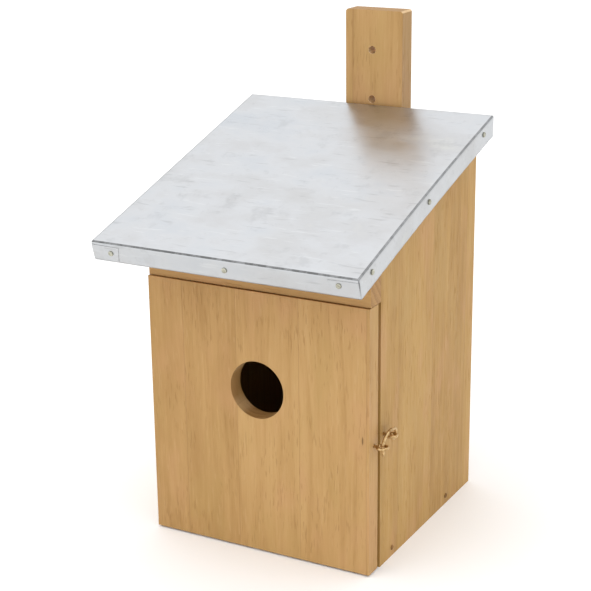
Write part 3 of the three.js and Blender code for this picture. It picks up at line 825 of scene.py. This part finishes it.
def hook(node, material):
    """The hook: a ring round the pivot eye's wire, a bowed arm and a rounded tip bent down."""
    low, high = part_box(node)
    pivot_low, pivot_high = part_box("hook_pivot_eye")
    pivot = Vector(((low.x + high.x) / 2, pivot_high.y - WIRE, (pivot_low.z + pivot_high.z) / 2))
    arch, corner, end = (pivot + offset for offset in (HOOK_ARCH, HOOK_CORNER, HOOK_END))
    end = end + Z * TIP_SHORT
    bend_start = corner.lerp(arch, HOOK_ROUNDING)
    bend_end = corner.lerp(end, HOOK_ROUNDING)
    ring = arc(pivot, Y * HOOK_RING_RADIUS, Z * HOOK_RING_RADIUS, -208, 90, 28)
    arm = bezier(ring[-1], arch, bend_start, 14)
    turn = bezier(bend_start, corner, bend_end, 8)
    tip = [bend_end.lerp(end, k / 4) for k in range(1, 5)]
    points = with_caps(ring + arm + turn + tip, WIRE)
    radii = rounded_ends(points, WIRE)
    mesh = tube(bmesh.new(), points, radii, 14)
    return piece("latch_hook_bent_wire", mesh, material, frame_body(node), [node])


# ------------------------------------------------------------------ hinges


def curled_leaf(place, leaf, brass):
    """A hinge leaf: a plate with rounded corners whose edge is rolled round the pin."""
    node = f"hinge_{place}_{leaf}_leaf"
    axis = middle(f"hinge_{place}_pin")
    low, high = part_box(node)
    frame_side = leaf == "frame"
    sign = 1 if frame_side else -1
    # the plate's middle plane, just clear of the board that it is screwed to
    if frame_side:
        plate_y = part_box("left_side")[0].y - LEAF_SEAT - LEAF / 2
    else:
        plate_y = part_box("front_door")[1].y + LEAF_SEAT + LEAF / 2
    bend_radius = KNUCKLE_RADIUS - LEAF / 2
    near_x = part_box("front_door")[0].x
    roll = [Vector((near_x, plate_y, 0)), Vector((near_x - 0.5 * MM, plate_y, 0))]
    centre = Vector((axis.x, axis.y, 0))
    roll += arc(centre, X * bend_radius, Y * bend_radius * sign, 60, 378, 22)
    outer, inner = [], []
    for i, point in enumerate(roll):
        before = roll[max(i - 1, 0)]
        after = roll[min(i + 1, len(roll) - 1)]
        direction = (after - before).normalized()
        normal = Vector((-direction.y, direction.x, 0)) * LEAF / 2
        outer.append(point + normal)
        inner.append(point - normal)
    outline = outer + list(reversed(inner))

    mesh = bmesh.new()
    third = (high.z - low.z) / 3
    gap = KNUCKLE_GAP
    if frame_side:
        spans = ((low.z, low.z + third - gap), (low.z + third * 2 + gap, low.z + third * 3))
    else:
        spans = ((axis.z - third / 2 + gap, axis.z + third / 2 - gap),)
    for z0, z1 in spans:
        extrude_outline(mesh, outline, z0, z1)
    z_low = axis.z - HALF_LEAF_HEIGHT
    z_high = axis.z + HALF_LEAF_HEIGHT
    plate = rounded_plate(near_x - 0.4 * MM, high.x, z_low, z_high, LEAF_CORNER)
    extrude_plate(mesh, plate, plate_y - LEAF / 2, plate_y + LEAF / 2)
    thing = piece(node + "_rolled", mesh, brass, frame_body(node), [node])
    thing.data.shade_flat()
    return soften(thing, 0.12 * MM, angle=40)


def extrude_outline(mesh, outline, z0, z1):
    """A closed outline in the XY plane, extruded from z0 to z1."""
    low = [mesh.verts.new((p.x, p.y, z0)) for p in outline]
    high = [mesh.verts.new((p.x, p.y, z1)) for p in outline]
    count = len(outline)
    for k in range(count):
        n = (k + 1) % count
        mesh.faces.new((low[k], low[n], high[n], high[k]))
    half = count // 2
    for ring in (low, high):
        for k in range(half - 1):
            mesh.faces.new((ring[k], ring[k + 1], ring[count - 2 - k], ring[count - 1 - k]))


def rounded_plate(x0, x1, z0, z1, radius):
    """An outline in the XZ plane with its two far corners rounded."""
    points = [(x0, z1), (x0, z0)]
    for k in range(7):
        t = math.radians(-90 + 15 * k)
        points.append((x1 - radius + radius * math.cos(t), z0 + radius + radius * math.sin(t)))
    for k in range(7):
        t = math.radians(15 * k)
        points.append((x1 - radius + radius * math.cos(t), z1 - radius + radius * math.sin(t)))
    return points


def extrude_plate(mesh, outline, y0, y1):
    front = [mesh.verts.new((x, y0, z)) for x, z in outline]
    back = [mesh.verts.new((x, y1, z)) for x, z in outline]
    count = len(outline)
    for k in range(count):
        n = (k + 1) % count
        mesh.faces.new((front[k], front[n], back[n], back[k]))
    mesh.faces.new(front)
    mesh.faces.new(back)


def hinge_pin(place, steel):
    """The hinge's pin, with a peened dome at each end."""
    node = f"hinge_{place}_pin"
    low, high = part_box(node)
    centre = (low + high) / 2
    half = (high.z - low.z) / 2
    dome = 0.55 * MM
    top = [
        (PIN_RADIUS, -half + dome), (PIN_RADIUS, half - dome), (PIN_RADIUS * 1.18, half - dome * 0.9),
        (PIN_RADIUS * 1.12, half - dome * 0.45), (PIN_RADIUS * 0.7, half - dome * 0.12), (0.0, half),
    ]
    bottom = [(radius, -along) for radius, along in reversed(top[2:])]
    mesh = lathe(bmesh.new(), bottom + top, centre, Z, 24)
    return piece(node + "_turned", mesh, steel, frame_body(node), [node])


# ------------------------------------------------------------------ the object

HONEY = (srgb(191, 153, 99), srgb(182, 143, 89), srgb(167, 128, 75))
AMBER = (srgb(185, 147, 85), srgb(175, 136, 75), srgb(161, 122, 64))
BARE = (srgb(188, 152, 104), srgb(177, 140, 92), srgb(160, 122, 76))


def door_mark():
    """A short dark pore on the door, close to its latch edge."""
    low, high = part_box("front_door")
    return {
        "at": (high.x - 3.9 * MM, low.y, middle("door_eye").z + 4.2 * MM),
        "scale": (1 / (0.5 * MM), 1 / (6 * MM), 1 / (2.4 * MM)),
    }


def build_boards():
    group = merge_group()
    looks = {
        "front_door": wood("wood_door", "Z", 5, HONEY, pith=(-0.012, 0.05), mark=door_mark()),
        "left_side": wood("wood_left_side", "Z", 12, AMBER, face="Y", pith=(-0.03, 0.02)),
        "right_side": wood("wood_right_side", "Z", 23, AMBER, face="Y", stave=0.04, pith=(-0.03, 0.0)),
        "front_top_strip": wood("wood_strip", "X", 31, HONEY, face="Z", stave=0.08, pith=(0.03, 0.214)),
        "mounting_post": wood("wood_post", "Z", 44, HONEY, stave=0.06, pith=(0.004, 0.14),
                              holes=POST_HOLES, x_face_darkening=0.34, wear_and_highlight=0.75),
        "back_panel": wood("wood_back", "Z", 52, BARE, pith=(0.02, 0.0)),
        "floor_board": wood("wood_floor", "Y", 63, BARE, pith=(0.01, 0.06)),
        "roof_board": wood("wood_roof_board", "X", 71, BARE, face="Y", pith=(0.02, 0.03)),
    }
    for name, material in looks.items():
        dress(nodes[name], material)
        ease(nodes[name], group, POST_ARRIS if name == "mounting_post" else ARRIS)


def build_roof():
    material = zinc("zinc_brushed")
    roof_sheet(material)
    for side in (-1, 1):
        corner_lap(side, material)


def build_fasteners(brass, passivated, steel, lacquered):
    for name in nodes:
        if name.startswith("roof_nail"):
            out = {
                "front": -ALONG_ROOF, "left": -X, "right": X, "rear": Y,
            }[name.split("_")[2]]
            lapped = name in ("roof_nail_front_1", "roof_nail_front_3")
            lift = LAP_THICKNESS * 0.8 if lapped else 0.0
            nail(name, out, passivated, "brass", lift=lift, **ROOF_NAIL)
        elif name.startswith(("floor_nail", "back_nail", "strip_nail")):
            out = {"floor": X if "right" in name else -X, "back": Y, "strip": -Y}[name.split("_")[0]]
            nail(name, out, lacquered, "steel", **BOARD_NAIL)
        elif name.startswith("post_screw"):
            countersunk_screw(name, Y, steel, "steel", **POST_SCREW)
        elif "_screw_" in name:
            out = -Y if "_frame_" in name else Y
            proud = HINGE_SCREW_PROUD
            countersunk_screw(name, out, brass, "brass", sides=20, proud=proud, **HINGE_SCREW)


def build_hardware(brass, rolled_brass, steel):
    for name in ("door_eye", "hook_pivot_eye"):
        screw_eye(name, brass)
    hook("latch_hook", brass)
    for place in ("lower", "upper"):
        for leaf in ("frame", "door"):
            curled_leaf(place, leaf, rolled_brass)
        hinge_pin(place, steel)


# ------------------------------------------------------------------ studio

CAMERA_AZIMUTH = math.radians(28.758)
CAMERA_ELEVATION = math.radians(17.874)
CAMERA_ROLL = math.radians(-0.704)
CAMERA_TARGET = Vector((-14.43, 13.05, 124.18)) * MM
CAMERA_DISTANCE = 868.2 * MM


def build_camera():
    data = bpy.data.cameras.new("camera")
    data.lens = 93.9
    data.sensor_width = 36
    data.clip_start = 0.01
    data.clip_end = 100
    back = Vector((
        math.sin(CAMERA_AZIMUTH) * math.cos(CAMERA_ELEVATION),
        -math.cos(CAMERA_AZIMUTH) * math.cos(CAMERA_ELEVATION),
        math.sin(CAMERA_ELEVATION),
    ))
    level = (-back).cross(Z).normalized()
    upright = back.cross(level)
    right = level * math.cos(CAMERA_ROLL) + upright * math.sin(CAMERA_ROLL)
    up = upright * math.cos(CAMERA_ROLL) - level * math.sin(CAMERA_ROLL)
    place = Matrix((right, up, back)).transposed().to_4x4()
    place.translation = CAMERA_TARGET + back * CAMERA_DISTANCE
    camera = bpy.data.objects.new("camera", data)
    camera.matrix_world = place
    bpy.context.scene.collection.objects.link(camera)
    bpy.context.scene.camera = camera


def build_floor():
    mesh = bmesh.new()
    bmesh.ops.create_circle(mesh, cap_ends=True, radius=9.0, segments=96)
    data = bpy.data.meshes.new("floor")
    mesh.to_mesh(data)
    mesh.free()
    graph = Graph("pale_floor")
    graph.shader.inputs["Specular IOR Level"].default_value = 0.0
    data.materials.append(graph.finish(Base_Color=(0.99, 0.99, 0.99, 1.0), Roughness=0.9))
    floor = bpy.data.objects.new("floor", data)
    bpy.context.scene.collection.objects.link(floor)


def build_light():
    world = bpy.data.worlds.new("studio")
    world.use_nodes = True
    bpy.context.scene.world = world
    tree = world.node_tree
    background = tree.nodes["Background"]
    coordinates = tree.nodes.new("ShaderNodeTexCoord")
    split = tree.nodes.new("ShaderNodeSeparateXYZ")
    ramp = tree.nodes.new("ShaderNodeValToRGB")
    tree.links.new(coordinates.outputs["Generated"], split.inputs[0])
    tree.links.new(split.outputs["Z"], ramp.inputs[0])
    stops = ((0.0, 1.01), (0.3, 0.97), (0.52, 1.1), (0.66, 1.35), (1.0, 1.3))
    elements = ramp.color_ramp.elements
    while len(elements) < len(stops):
        elements.new(0.5)
    for element, (position, level) in zip(elements, stops):
        element.position = position
        element.color = (level, level, level, 1.0)
    tree.links.new(ramp.outputs[0], background.inputs["Color"])
    background.inputs["Strength"].default_value = 1.0

    softboxes = (
        ("key", (-1.0, -2.2, 0.9), 1.6, 4.0),
        ("top", (-0.6, -0.8, 2.2), 1.4, 4.0),
    )
    for name, place, size, power in softboxes:
        light = bpy.data.lights.new(name, "AREA")
        light.shape = "SQUARE"
        light.size = size
        light.energy = power
        lamp = bpy.data.objects.new(name, light)
        lamp.location = place
        aim = Vector((0, 0, 0.12)) - lamp.location
        lamp.rotation_euler = aim.to_track_quat("-Z", "Y").to_euler()
        bpy.context.scene.collection.objects.link(lamp)
    bpy.context.scene.view_settings.view_transform = "Standard"


brass_look = metal("brass_plated", srgb(230, 200, 150), srgb(150, 112, 62), 0.26)
rolled_look = metal("brass_rolled", srgb(216, 184, 132), srgb(188, 153, 102), 0.3, 260.0)
nail_look = metal("zinc_passivated", srgb(204, 203, 188), srgb(126, 124, 106), 0.34)
steel_look = metal("steel_plated", srgb(202, 202, 198), srgb(150, 150, 146), 0.3)
lacquered_look = metal("steel_lacquered", srgb(172, 134, 88), srgb(112, 82, 48), 0.5)
build_boards()
build_roof()
build_fasteners(brass_look, nail_look, steel_look, lacquered_look)
build_hardware(brass_look, rolled_look, steel_look)
build_camera()
build_floor()
build_light()
